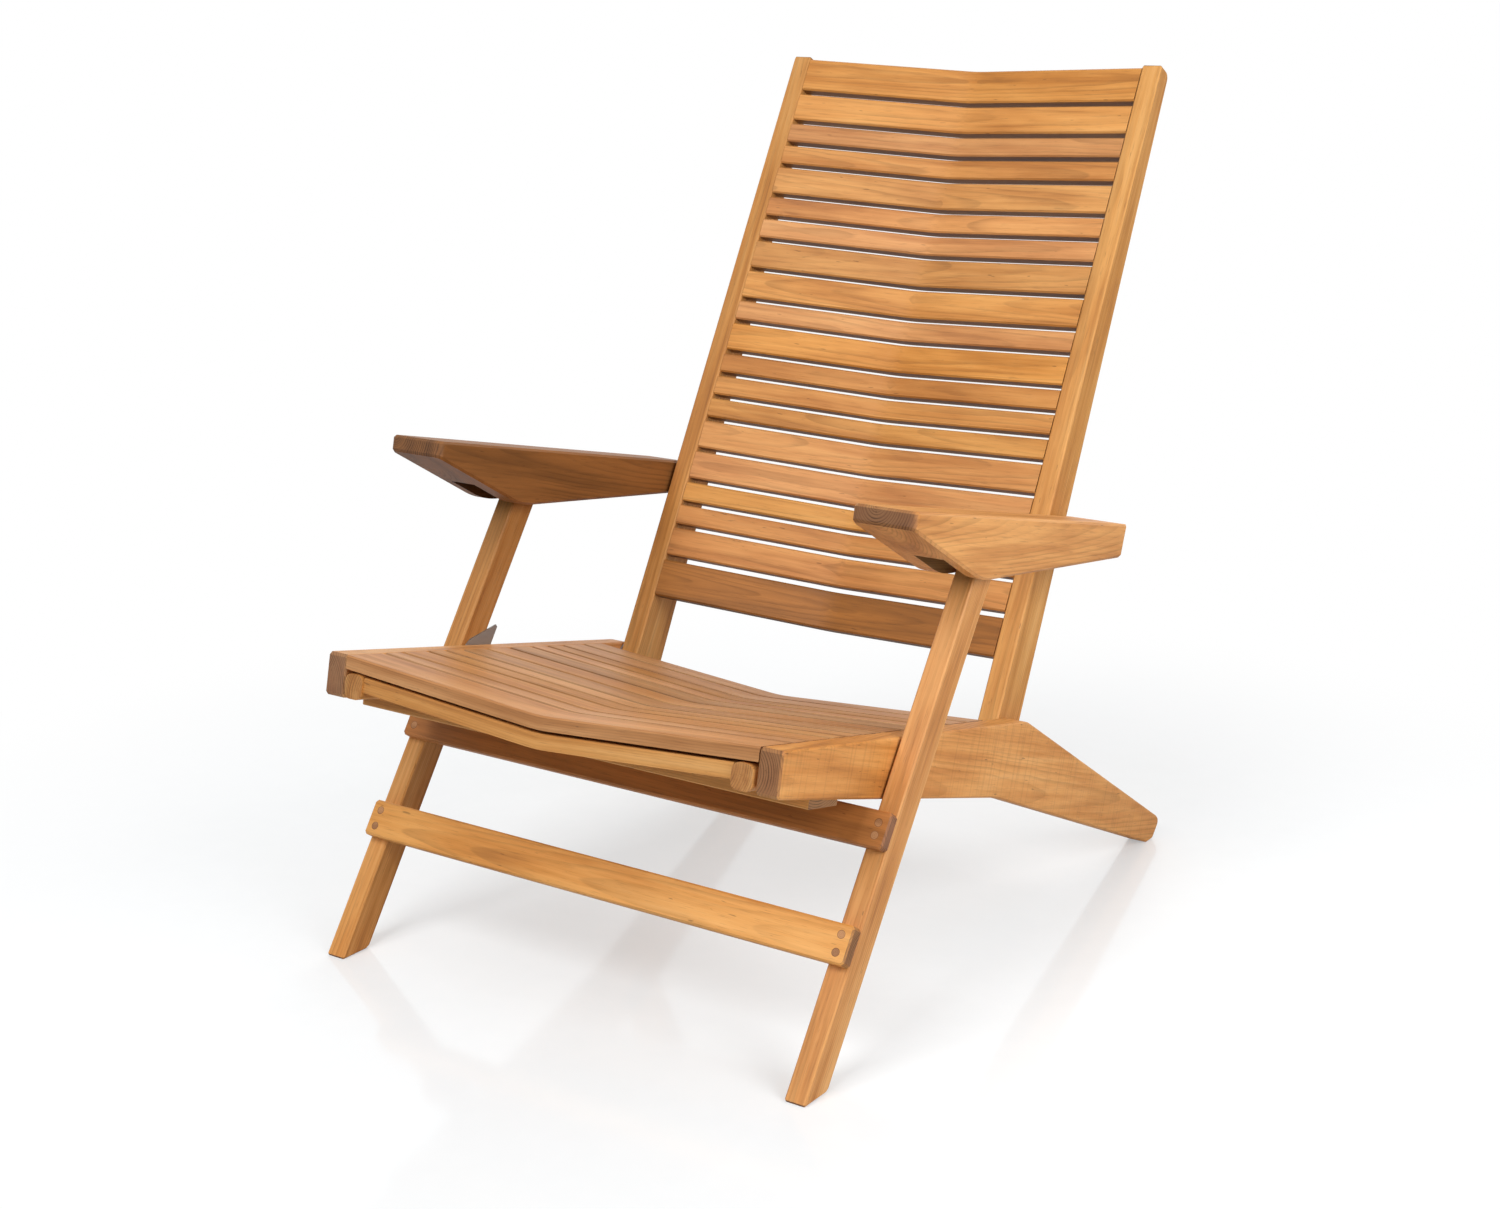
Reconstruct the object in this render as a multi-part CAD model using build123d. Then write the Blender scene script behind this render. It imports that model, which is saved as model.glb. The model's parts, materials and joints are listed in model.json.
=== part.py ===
"""Folding slatted deck chair with arms and a footrest that pulls out from under the seat.

Millimetres, +Z up. The chair faces -Y and is the same on both sides of X = 0. Left and right are as
seen from the front, so left is -X. Side outlines are drawn in a working frame with Y = 0 at the toes
of the front legs; at the end everything is moved so that the origin is at the bottom centre.

Each side is a four-bar linkage of rail, leg, arm and post whose pivots form a parallelogram, so the
back folds forward over the seat, the legs fold back under it, and the arms stay level with themselves.
"""
import os
from math import cos, radians, sin, tan

from build123d import *

# Seat rails: a straight seat part that bends down into the rear leg
seat_front_height = 352.0    # top of the rails' front ends above the floor
seat_front_setback = 2.0     # the same edge behind the toes of the front legs
seat_slope = 12.1            # degrees, falling to the back
rail_thickness = 26.0
rail_front_depth = 45.6      # depth of the rail at its front end
rail_bend_depth = 80.8       # depth of the rail where its underside bends
rail_underside_length = 443.8
rail_top_length = 495.0      # seat's front edge to the bend of the top edge
rear_leg_slope = 31.7        # degrees, the rear leg's top edge
rear_foot_height = 21.0      # heel of the rear foot above the floor
rear_foot_toe = 818.0        # where the rear foot's flat starts, behind the front legs' toes
rear_foot_flat = 16.0
rail_top_bend_radius = 45.0
rail_underside_bend_radius = 90.0
rear_foot_radius = 9.0
rail_corner_cut = 3.2        # front end's two corners
rail_edge_cut = 1.8          # chamfer of the long edges

# Slats of the seat, back and footrest
narrow_share = 0.694         # width of a narrow slat, as a share of a wide one
slat_edge_cut = 1.8          # chamfer along the upper face
upward_share = 0.5           # a face is an upper one where its normal points up by at least this
seat_slat_gap = 4.0
seat_front_slat = 54.5
seat_back_gap = 38.7         # last seat slat to the front of the back
seat_slat_thickness = 14.6
seat_pattern = "NWNNWWWNNWW"   # behind the front slat: W is wide, N is narrow
seat_dish = 17.8             # fall of the slats' two straight wings to the centre line
seat_bend_radius = 200.0     # rounding between the wings

# Front legs, outside the rails
leg_half_width = 312.0       # centre line to a leg's outer face
leg_thickness = 24.0
leg_depth = 35.0
leg_rail_gap = 2.0
leg_pivot_depth = 31.0       # pivot of leg and rail, below the seat's top
leg_edge_cut = 1.6
leg_foot_cut = 3.0           # foot's two corners
stretcher_height = 158.3     # middle of the lower stretcher, along the leg from the floor
stretcher_width = 40.0
stretcher_thickness = 14.0
crossrail_height = 275.5     # middle of the upper crossrail, along the leg from the floor
crossrail_width = 38.0
crossrail_thickness = 12.0
crossrail_corner_cut = 3.0
crossrail_edge_cut = 1.8
plug_radius = 4.4
plug_depth = 5.0
stretcher_plug_spread = 9.0  # each plug off the stretcher's middle line
crossrail_plug_spread = 6.5
plate_thickness = 1.6
plate_rise = 43.7            # plate's upper and lower edges from the pivot, along the leg
plate_slant = 42.8           # degrees, those edges against square to the leg
plate_setback = 8.0          # plate's front edge behind the leg's front
plate_overhang = 12.5        # plate's reach behind the leg
plate_corner_cut = 4.5

# Back posts, inside the rails
seat_depth = 478.2           # seat's front edge to the front of the back, along the seat
back_angle = 105.9           # degrees between seat and back
post_thickness = 24.0
post_rail_gap = 2.3
post_toe_in = 0.53           # degrees, each post leaning inwards
post_length = 784.0          # above the pivot
post_end = 24.0              # below the pivot
post_bottom_depth = 56.0
post_top_depth = 24.5
post_heel_radius = 20.0
post_top_front_radius = 3.0
post_top_back_radius = 10.0
post_edge_cut = 1.8
back_pivot_depth = 12.0      # pivot of post and rail, below the seat's top
back_pivot_inset = 11.5      # the same pivot, behind the post's front
arm_pivot_height = 224.0     # pivot of post and arm, above the back pivot along the post
arm_pivot_inset = 36.0       # the same pivot, behind the post's front
back_slat_start = 75.0       # lower edge of the lowest slat above the pivot
back_bottom_slat = 45.0
back_first_gap = 7.2         # above the lowest slat
back_slat_gap = 5.8          # above the others
back_top_slat = 41.2
back_top_margin = 3.6        # the top slat's upper edge below the posts' tops
back_slat_thickness = 15.0
back_slat_inset = 0.8        # slats' faces behind the posts' fronts at their ends
back_pattern = "WNNWWNNNWNWWNNWNNW"   # from the second slat up
back_dish = 22.0
back_bend_radius = 120.0

# Arms
arm_outer_cheek = 15.0       # wood of the arm outside its slot
arm_inner_cheek = 24.0       # wood of the arm inside its slot
arm_slope = 12.6             # degrees, falling to the back
arm_front_reach = 194.0      # front end ahead of the pivot of arm and leg
arm_rear_reach = 13.3        # rear end behind the pivot of arm and post
arm_rear_cover = 28.0        # wood above the pivot of arm and post
arm_front_depth = 17.5
arm_rear_depth = 37.0
arm_rear_rake = 5.0          # rear end's lower corner ahead of its upper one
arm_belly_cover = 15.7       # deepest point of the arm below the pivot of arm and leg
arm_belly_lead = 43.0        # the same point ahead of that pivot
arm_belly_radius = 100.0
arm_heel_radius = 5.0        # rear end's lower corner
arm_nose_radius = 9.0        # front end's two upright edges
arm_edge_cut = 2.6
slot_side_gap = 4.5          # arm's slot each side of the leg
slot_end_gap = 4.0           # slot round the leg's end and behind the folded leg
slot_lead = 102.5            # front end of the slot ahead of the pivot
fold_angle = 76.0            # degrees, travel of the back from open to folded

# Footrest and its bearers
footrest_gap = 3.5           # seat slats' underside to the footrest
footrest_side_gap = 3.0      # runner rails to the seat rails
runner_width = 24.0
runner_depth = 26.4
runner_radius = 8.0
runner_lead = 2.0            # runner rails' front ends ahead of the seat's front edge
runner_setback = 13.5        # their rear ends ahead of the last seat slat's rear edge
footrest_bar_width = 22.0
footrest_bar_thickness = 15.7
footrest_slat_width = 36.0
footrest_slat_thickness = 9.0
footrest_slat_gap = 4.0
footrest_slat_count = 6
bearer_gap = 0.3             # running gap under the runner rails
front_bearer_start = 58.0    # from the seat's front edge
front_bearer_width = 52.0
front_bearer_thickness = 15.2
front_bearer_housing = 14.0  # depth of the rails' housings for the bearer, from inside
rear_bearer_start = 330.0
rear_bearer_width = 42.0
rear_bearer_thickness = 14.0
bearer_edge_cut = 1.2

# Pivot pins and washers
pin_radius = 4.0
pin_running_gap = 0.05       # round the pin where it turns
pin_fixed_gap = 0.02         # round the pin where it is fixed
pin_seat = 17.0              # depth of a pin's hole
pin_end_gap = 1.0            # pin's end to the bottom of its hole
pin_cover = 5.0              # wood over the outer end of the hole through an arm
washer_radius = 11.0
washer_play = 0.25           # washers' clearance to the pieces beside them

# Places across the chair, from the centre line
leg_inner = leg_half_width - leg_thickness
rail_outer = leg_inner - leg_rail_gap
rail_inner = rail_outer - rail_thickness
post_outer = rail_inner - post_rail_gap
post_inner = post_outer - post_thickness
slot_inner = leg_inner - slot_side_gap
slot_outer = leg_half_width + slot_side_gap
arm_inner = slot_inner - arm_inner_cheek
arm_half_width = slot_outer + arm_outer_cheek
housing_end = rail_inner + front_bearer_housing
front_bearer_end = rail_outer - rail_edge_cut
runner_outer = rail_inner - footrest_side_gap
runner_inner = runner_outer - runner_width


def side_frame(origin, angle):
    """Frame of a side outline: local x along the piece, local y square to it, local z along +X."""
    direction = (0, cos(radians(angle)), sin(radians(angle)))
    return Plane(origin=origin, x_dir=direction, z_dir=(1, 0, 0))


def outline_face(points, rounds=(), cuts=()):
    """Face of a closed outline; rounds holds (corner, radius) and cuts (corner, length cut off each side)."""
    face = make_face(Polyline(*points, close=True))
    for corner, radius in rounds:
        face = fillet(face.vertices().sort_by_distance((*points[corner], 0))[0], radius)
    for corner, length in cuts:
        face = chamfer(face.vertices().sort_by_distance((*points[corner], 0))[0], length)
    return face


def plank(frame, points, near, far, rounds=(), cuts=(), edge_cut=0.0):
    """Flat piece between two distances from the centre line, with the edges of both faces chamfered."""
    solid = extrude(frame.offset(near) * outline_face(points, rounds, cuts), amount=far - near)
    if edge_cut:
        solid = chamfer(solid.faces().filter_by(Axis.X).edges(), edge_cut)
    return solid


def bar_along(frame, start, length, section):
    """Piece of constant section, given across and down from the frame, running along the frame."""
    place = Plane(origin=frame.from_local_coords((start, 0, 0)), x_dir=(1, 0, 0), z_dir=frame.x_dir)
    return extrude(place * section, amount=length)


def bent_slat(frame, start, width, half_length, face_depth, dish, thickness, bend_radius):
    """Slat of two straight wings that meet in a rounded bend, chamfered along its upper face."""
    points = [(-half_length, face_depth), (0, face_depth + dish), (half_length, face_depth),
              (half_length, face_depth + thickness), (0, face_depth + dish + thickness),
              (-half_length, face_depth + thickness)]
    rounds = [(1, bend_radius), (4, bend_radius + thickness)]
    slat = bar_along(frame, start, width, outline_face(points, rounds))
    upper = slat.faces().filter_by(lambda face: face.normal_at().dot(frame.y_dir) > upward_share)
    long_edges = upper.edges().filter_by(Axis(frame.origin, frame.x_dir), reverse=True)
    return chamfer(long_edges, slat_edge_cut)


def slat_widths(pattern, room, gap):
    """Widths of the slats in a pattern of W and N that fill a room with a gap beside each of them."""
    wide = (room - gap * len(pattern)) / (pattern.count("W") + narrow_share * pattern.count("N"))
    return [wide if letter == "W" else wide * narrow_share for letter in pattern]


def cylinder_across(centre, radius, near, far):
    """Round bar along X between two distances from the centre line."""
    place = Plane(origin=((near + far) / 2, centre.Y, centre.Z), z_dir=(1, 0, 0))
    return place * Cylinder(radius, far - near)


def left_of(solid):
    """The same piece on the chair's left side."""
    return mirror(solid, about=Plane.YZ)


def both(solid):
    """A right-hand piece with its left-hand twin, as one group of separate solids."""
    return Compound(children=[left_of(solid), solid])


# Frames and pivots of the linkage
seat = side_frame((0, seat_front_setback, seat_front_height), -seat_slope)
post_lean = back_angle - 90 + seat_slope
recline = radians(back_angle - 90)
back_drop = (back_pivot_depth - back_pivot_inset * sin(recline)) / cos(recline)
back_front = side_frame(seat.from_local_coords((seat_depth, 0, 0)), 90 - post_lean)
back = side_frame(back_front.from_local_coords((-back_drop, 0, 0)), 90 - post_lean)
back_pivot = back.from_local_coords((0, -back_pivot_inset, 0))
arm_back_pivot = back.from_local_coords((arm_pivot_height, -arm_pivot_inset, 0))
link = arm_back_pivot - back_pivot
leg_lean = Vector(0, 0, 1).get_angle(link)
leg = side_frame((0, 0, 0), 90 - leg_lean)


def depth_on_leg(along):
    """Depth below the seat's top of a point on the leg's middle line."""
    return -seat.to_local_coords(leg.from_local_coords((along, -leg_depth / 2, 0))).Y


leg_pivot_along = (depth_on_leg(0) - leg_pivot_depth) / (depth_on_leg(0) - depth_on_leg(1))
leg_pivot = leg.from_local_coords((leg_pivot_along, -leg_depth / 2, 0))
arm_leg_pivot = leg_pivot + link
arm_tilt = side_frame(arm_back_pivot, -arm_slope)
arm_span = -arm_tilt.to_local_coords(arm_leg_pivot).X
arm = side_frame(arm_tilt.from_local_coords((-arm_span - arm_front_reach, arm_rear_cover, 0)), -arm_slope)
arm_pivot_depth = -arm.to_local_coords(arm_leg_pivot).Y

# Lengths along the seat, and depths below its top, that the footrest and its bearers share
slats_end = seat_depth - seat_back_gap
runner_top = seat_slat_thickness + footrest_gap
bearer_top = runner_top + runner_depth + bearer_gap


def bore(solid, centre, near, far, gap=0.0):
    """Cut the hole of a pivot pin along X."""
    return solid - cylinder_across(centre, pin_radius + gap, near, far)


def bearer_outline(start, width, thickness):
    """Side outline of a footrest bearer."""
    return [(start, -bearer_top), (start + width, -bearer_top),
            (start + width, -bearer_top - thickness), (start, -bearer_top - thickness)]


front_bearer_outline = bearer_outline(front_bearer_start, front_bearer_width, front_bearer_thickness)
rear_bearer_outline = bearer_outline(rear_bearer_start, rear_bearer_width, rear_bearer_thickness)


def seat_rail():
    """Right seat rail: seat part, bend and rear leg in one plank, housing the front bearer's end."""
    toe = seat.to_local_coords(Vector(0, rear_foot_toe, 0))
    flat_end = seat.to_local_coords(Vector(0, rear_foot_toe + rear_foot_flat, 0))
    bend = seat.from_local_coords((rail_top_length, 0, 0))
    heel_y = bend.Y + (bend.Z - rear_foot_height) / tan(radians(rear_leg_slope))
    heel = seat.to_local_coords(Vector(0, heel_y, rear_foot_height))
    points = [(0, 0), (rail_top_length, 0), (heel.X, heel.Y), (flat_end.X, flat_end.Y), (toe.X, toe.Y),
              (rail_underside_length, -rail_bend_depth), (0, -rail_front_depth)]
    rounds = [(1, rail_top_bend_radius), (2, rear_foot_radius), (3, rear_foot_radius),
              (5, rail_underside_bend_radius)]
    cuts = [(0, rail_corner_cut), (6, rail_corner_cut)]
    rail = plank(seat, points, rail_inner, rail_outer, rounds, cuts, rail_edge_cut)
    rail -= plank(seat, front_bearer_outline, rail_inner, housing_end)
    rail = bore(rail, leg_pivot, rail_outer - pin_seat, rail_outer, pin_running_gap)
    return bore(rail, back_pivot, rail_inner, rail_inner + pin_seat, pin_running_gap)


def seat_slats():
    """Seat slats from front to back, flush with the rails' tops at their ends."""
    slats = []
    start = 0.0
    for width in [seat_front_slat] + slat_widths(seat_pattern, slats_end - seat_front_slat, seat_slat_gap):
        slat = bent_slat(seat, start, width, rail_inner, 0, seat_dish, seat_slat_thickness, seat_bend_radius)
        slats.append(slat)
        start += width + seat_slat_gap
    return slats


def bearer(outline, half_length):
    """Strip across the chair that the footrest slides on, with its long edges chamfered."""
    solid = plank(seat, outline, -half_length, half_length)
    return chamfer(solid.edges().filter_by(Axis.X), bearer_edge_cut)


def front_leg():
    """Right front leg, cut level at the floor and round at its top, where it turns in the arm."""
    heel = leg_depth * tan(radians(leg_lean))
    top = leg.to_local_coords(arm_leg_pivot).X + leg_depth / 2
    points = [(0, 0), (top, 0), (top, -leg_depth), (heel, -leg_depth)]
    end_radius = leg_depth / 2 - leg_edge_cut / 10
    rounds = [(1, end_radius), (2, end_radius)]
    cuts = [(0, leg_foot_cut), (3, leg_foot_cut)]
    solid = plank(leg, points, leg_inner, leg_half_width, rounds, cuts, leg_edge_cut)
    solid = bore(solid, leg_pivot, leg_inner, leg_inner + pin_seat, pin_fixed_gap)
    return bore(solid, arm_leg_pivot, leg_inner, leg_half_width, pin_fixed_gap)


def crossrail(height, width, thickness, plug_spread):
    """Board lapped on the front of both legs, drilled for its plugs, and the plugs."""
    origin = leg.from_local_coords((height, 0, 0))
    face = Plane(origin=origin, x_dir=(1, 0, 0), z_dir=leg.y_dir)
    outline = Rectangle(2 * leg_half_width, width)
    outline = chamfer(outline.vertices(), crossrail_corner_cut)
    board = extrude(face * outline, amount=thickness)
    board = chamfer(board.faces().sort_by(Axis(origin, leg.y_dir))[-1].edges(), crossrail_edge_cut)
    middle = leg_half_width - leg_thickness / 2
    plugs = []
    for place in GridLocations(2 * middle, 2 * plug_spread, 2, 2):
        plug = face.offset(thickness - plug_depth / 2) * (place * Cylinder(plug_radius, plug_depth))
        board -= plug
        plugs.append(plug)
    return board, plugs


def leg_plate():
    """Thin plate on the right leg's inner face round its pivot, reaching out behind the leg."""
    slant = tan(radians(plate_slant))
    reach = leg_depth + plate_overhang
    front = leg_pivot_along + slant * (plate_setback - leg_depth / 2)
    rear = leg_pivot_along + slant * (reach - leg_depth / 2)
    points = [(front + plate_rise, -plate_setback), (rear + plate_rise, -reach), (rear - plate_rise, -reach),
              (front - plate_rise, -plate_setback)]
    plate = plank(leg, points, leg_inner - plate_thickness, leg_inner)
    plate = chamfer(plate.edges().filter_by(Axis.X), plate_corner_cut)
    return bore(plate, leg_pivot, leg_inner - plate_thickness, leg_inner, pin_fixed_gap)


def back_post():
    """Right back post, deeper at the bottom, leaning in a little towards the top."""
    points = [(-post_end, 0), (post_length, 0), (post_length, -post_top_depth),
              (-post_end, -post_bottom_depth)]
    rounds = [(0, post_heel_radius), (1, post_top_front_radius), (2, post_top_back_radius),
              (3, post_heel_radius)]
    post = plank(back, points, post_inner, post_outer, rounds, edge_cut=post_edge_cut)
    hinge = Axis((post_outer, back_pivot.Y, back_pivot.Z), -back.y_dir)
    post = post.rotate(hinge, -post_toe_in)
    post = bore(post, back_pivot, post_outer - pin_seat, rail_inner, pin_fixed_gap)
    return bore(post, arm_back_pivot, post_outer_at(arm_pivot_height) - pin_seat, rail_inner, pin_fixed_gap)


def post_outer_at(height):
    """Distance of a post's outer face from the centre line, at a height along the post."""
    return post_outer - height * tan(radians(post_toe_in))


def back_slats():
    """Back slats from the bottom up, cut to the room between the posts."""
    slats = []
    start = back_slat_start
    gap = back_first_gap
    top_slat_start = post_length - back_top_margin - back_top_slat
    room = top_slat_start - back_first_gap - back_slat_start - back_bottom_slat
    for width in [back_bottom_slat] + slat_widths(back_pattern, room, back_slat_gap) + [back_top_slat]:
        reach = post_outer_at(start + width) - post_thickness / cos(radians(post_toe_in))
        slat = bent_slat(back, start, width, reach, back_slat_inset, back_dish, back_slat_thickness,
                         back_bend_radius)
        slats.append(slat)
        start += width + gap
        gap = back_slat_gap
    return slats


def arm_rest():
    """Right arm: a wedge with a slot in its underside for the leg."""
    length = arm_front_reach + arm_span + arm_rear_reach
    belly = arm_pivot_depth + arm_belly_cover
    points = [(0, 0), (length, 0), (length - arm_rear_rake, -arm_rear_depth),
              (arm_front_reach - arm_belly_lead, -belly), (0, -arm_front_depth)]
    rounds = [(2, arm_heel_radius), (3, arm_belly_radius)]
    solid = plank(arm, points, arm_inner, arm_half_width, rounds)
    upright = Axis(arm.origin, arm.y_dir)
    front = solid.faces().sort_by(Axis(arm.origin, arm.x_dir))[0]
    solid = fillet(front.edges().filter_by(upright), arm_nose_radius)
    solid = chamfer(solid.faces().filter_by(Axis.X).edges().filter_by(upright, reverse=True), arm_edge_cut)
    folded = radians(90 + leg_lean - fold_angle - arm_slope)
    slot_tail = (leg_depth / 2 + arm_belly_cover * cos(folded)) / sin(folded) + slot_end_gap
    roof = arm_pivot_depth - leg_depth / 2 - slot_end_gap
    slot = [(arm_front_reach - slot_lead, -roof), (arm_front_reach + slot_tail, -roof),
            (arm_front_reach + slot_tail, -2 * belly), (arm_front_reach - slot_lead, -2 * belly)]
    solid -= plank(arm, slot, slot_inner, slot_outer)
    solid = bore(solid, arm_leg_pivot, arm_inner + pin_cover, arm_half_width - pin_cover, pin_running_gap)
    return bore(solid, arm_back_pivot, arm_inner, arm_inner + pin_seat, pin_running_gap)


def leg_pins():
    """Pins fixed in the legs: one into each rail and one through each leg's top into the arm."""
    rail_end = rail_outer - pin_seat + pin_end_gap
    to_rail = cylinder_across(leg_pivot, pin_radius, rail_end, leg_inner + pin_seat)
    end = pin_cover + pin_end_gap
    to_arm = cylinder_across(arm_leg_pivot, pin_radius, arm_inner + end, arm_half_width - end)
    return Compound(children=[left_of(to_rail), to_rail, left_of(to_arm), to_arm])


def back_pins():
    """Pins fixed in the posts: one into each rail and one into each arm."""
    reach = pin_seat - pin_end_gap
    to_rail = cylinder_across(back_pivot, pin_radius, post_outer - pin_seat, rail_inner + reach)
    start = post_outer_at(arm_pivot_height) - pin_seat
    to_arm = cylinder_across(arm_back_pivot, pin_radius, start, arm_inner + reach)
    return Compound(children=[left_of(to_rail), to_rail, left_of(to_arm), to_arm])


def washer(centre, near, far):
    """Ring on a pivot pin, with a little play at both faces."""
    ring = cylinder_across(centre, washer_radius, near + washer_play, far - washer_play)
    return bore(ring, centre, near, far, pin_fixed_gap)


def washers():
    """Rings that keep the posts off the rails and the arms off the posts."""
    at_rail = washer(back_pivot, post_outer, rail_inner)
    at_arm = washer(arm_back_pivot, post_outer_at(arm_pivot_height), arm_inner)
    return Compound(children=[left_of(at_rail), at_rail, left_of(at_arm), at_arm])


def footrest_runner():
    """Right runner rail of the footrest, a bar with well rounded corners."""
    middle = Pos((runner_inner + runner_outer) / 2, runner_top + runner_depth / 2)
    section = middle * RectangleRounded(runner_width, runner_depth, runner_radius)
    return bar_along(seat, -runner_lead, slats_end - runner_setback + runner_lead, section)


def footrest_slats():
    """Front bar and slats of the footrest, bent like the seat slats above them."""
    dish = seat_dish / rail_inner * runner_inner
    face = runner_top + seat_dish - dish
    bar = bent_slat(seat, 0, footrest_bar_width, runner_inner, face, dish, footrest_bar_thickness,
                    seat_bend_radius)
    slats = [bar]
    for number in range(footrest_slat_count):
        start = footrest_bar_width + footrest_slat_gap + number * (footrest_slat_width + footrest_slat_gap)
        slat = bent_slat(seat, start, footrest_slat_width, runner_inner, face, dish, footrest_slat_thickness,
                         seat_bend_radius)
        slats.append(slat)
    return slats


def numbered(name, solids):
    """Nodes for a row of like pieces, numbered from 1."""
    return {f"{name}_{number:02d}": solid for number, solid in enumerate(solids, 1)}


def sided(name, solid):
    """Nodes for a right-hand piece and its left-hand twin."""
    return {f"{name}_left": left_of(solid), f"{name}_right": solid}


def build_chair():
    """All nodes of the chair in the working frame."""
    stretcher, stretcher_plugs = crossrail(stretcher_height, stretcher_width, stretcher_thickness,
                                           stretcher_plug_spread)
    upper_rail, upper_plugs = crossrail(crossrail_height, crossrail_width, crossrail_thickness,
                                        crossrail_plug_spread)
    rail = seat_rail()
    front_bearer = bearer(front_bearer_outline, front_bearer_end) - rail - left_of(rail)
    footrest_bar, *slats = footrest_slats()
    return {
        **sided("seat_rail", rail),
        **numbered("seat_slat", seat_slats()),
        "front_bearer": front_bearer,
        "rear_bearer": bearer(rear_bearer_outline, rail_inner),
        **sided("front_leg", front_leg()),
        "leg_stretcher": stretcher,
        "leg_crossrail": upper_rail,
        "crossrail_plugs": Compound(children=stretcher_plugs + upper_plugs),
        "leg_plates": both(leg_plate()),
        "leg_pivot_pins": leg_pins(),
        **sided("back_post", back_post()),
        **numbered("back_slat", back_slats()),
        "back_pivot_pins": back_pins(),
        "pivot_washers": washers(),
        **sided("arm", arm_rest()),
        **sided("footrest_runner", footrest_runner()),
        "footrest_bar": footrest_bar,
        **numbered("footrest_slat", slats),
    }


def main():
    """Centre the chair on its box, write one STEP file per node and print the pivots."""
    nodes = build_chair()
    boxes = [solid.bounding_box() for solid in nodes.values()]
    middle = (min(box.min.Y for box in boxes) + max(box.max.Y for box in boxes)) / 2
    os.makedirs("parts", exist_ok=True)
    for name, solid in nodes.items():
        export_step(Pos(0, -middle, 0) * solid, f"parts/{name}.step")
    pivots = {"back_pivot": back_pivot, "arm_back_pivot": arm_back_pivot, "leg_pivot": leg_pivot,
              "arm_leg_pivot": arm_leg_pivot, "seat_front": seat.origin, "arm_front": arm.origin}
    for name, point in pivots.items():
        print(f"{name}: Y {point.Y - middle:.4f} Z {point.Z:.4f}")
    print(f"leg lean {leg_lean:.3f}, post lean {post_lean:.3f}, box middle {middle:.4f}")


main()
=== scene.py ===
"""Looks, stage and camera of a folding deck chair in oiled teak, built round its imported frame."""
from __future__ import annotations

import json
import logging
import math
import random
from dataclasses import dataclass
from enum import Enum
from typing import Any, Mapping, Optional, Sequence, Union

import bpy
from mathutils import Euler, Matrix, Vector

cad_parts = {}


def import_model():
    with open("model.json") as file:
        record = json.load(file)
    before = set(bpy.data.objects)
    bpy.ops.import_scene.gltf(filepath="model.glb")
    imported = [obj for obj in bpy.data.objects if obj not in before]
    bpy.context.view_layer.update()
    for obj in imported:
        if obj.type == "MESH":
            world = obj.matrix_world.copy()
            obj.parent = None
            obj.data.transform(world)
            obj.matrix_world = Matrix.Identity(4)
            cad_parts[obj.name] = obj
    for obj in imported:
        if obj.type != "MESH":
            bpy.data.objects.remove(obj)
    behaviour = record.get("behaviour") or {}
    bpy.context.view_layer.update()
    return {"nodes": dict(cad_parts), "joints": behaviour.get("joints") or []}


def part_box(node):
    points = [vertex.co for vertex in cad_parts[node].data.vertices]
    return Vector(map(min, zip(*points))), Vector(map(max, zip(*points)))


LOG = logging.getLogger("deck_chair")
NOISE_MEAN = 0.5
Colour = tuple[float, float, float]
Number = Union[int, float]
WHITE: Colour = (1.0, 1.0, 1.0)


def srgb(red: int, green: int, blue: int) -> Colour:
    """Turns a screen colour of 0 to 255 into the linear colour that shaders use.

    Args:
        red: Red, from 0 to 255.
        green: Green, from 0 to 255.
        blue: Blue, from 0 to 255.

    Returns:
        The linear colour.
    """
    def linear(value: int) -> float:
        """Linear value of one channel."""
        share = value / 255
        return share / 12.92 if share <= 0.04045 else ((share + 0.055) / 1.055) ** 2.4

    return linear(red), linear(green), linear(blue)


def opaque(colour: Colour) -> tuple[float, float, float, float]:
    """The colour with full cover, as colour sockets take it."""
    return (*colour, 1.0)


def turned_to(place: Vector, aim: Vector) -> Euler:
    """Rotation of a lamp or camera at a place that looks at an aim."""
    return (aim - place).to_track_quat("-Z", "Y").to_euler()


class Wire:
    """A value socket whose arithmetic adds Math nodes."""

    def __init__(self, sheet: Sheet, socket: bpy.types.NodeSocket) -> None:
        """Holds a socket and the sheet it is on."""
        self.sheet = sheet
        self.socket = socket

    def _maths(self, operation: str, *values: Union[Wire, Number]) -> Wire:
        """Adds one Math node and returns its result."""
        return self.sheet.node("ShaderNodeMath", {"operation": operation}, dict(enumerate(values)), 0)

    def __add__(self, other: Union[Wire, Number]) -> Wire:
        """self + other."""
        return self._maths("ADD", self, other)

    __radd__ = __add__

    def __sub__(self, other: Union[Wire, Number]) -> Wire:
        """self - other."""
        return self._maths("SUBTRACT", self, other)

    def __rsub__(self, other: Number) -> Wire:
        """other - self."""
        return self._maths("SUBTRACT", other, self)

    def __mul__(self, other: Union[Wire, Number]) -> Wire:
        """self * other."""
        return self._maths("MULTIPLY", self, other)

    __rmul__ = __mul__

    def __pow__(self, power: Number) -> Wire:
        """self to a power."""
        return self._maths("POWER", self, power)

    def __abs__(self) -> Wire:
        """Size of self without its sign."""
        return self._maths("ABSOLUTE", self)

    def fraction(self) -> Wire:
        """Part of self after the decimal point."""
        return self._maths("FRACT", self)

    def moved(self, distance: float) -> Wire:
        """self moved by a distance, or self where that is 0."""
        return self + distance if distance else self

    def between(self, low: Number, high: Number) -> Wire:
        """Smooth step from 0 at low to 1 at high.

        Args:
            low: Value that gives 0.
            high: Value that gives 1.

        Returns:
            The step, from 0 to 1.
        """
        return self.sheet.node("ShaderNodeMapRange", {"interpolation_type": "SMOOTHSTEP"},
                               {"Value": self, "From Min": low, "From Max": high}, "Result")


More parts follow.
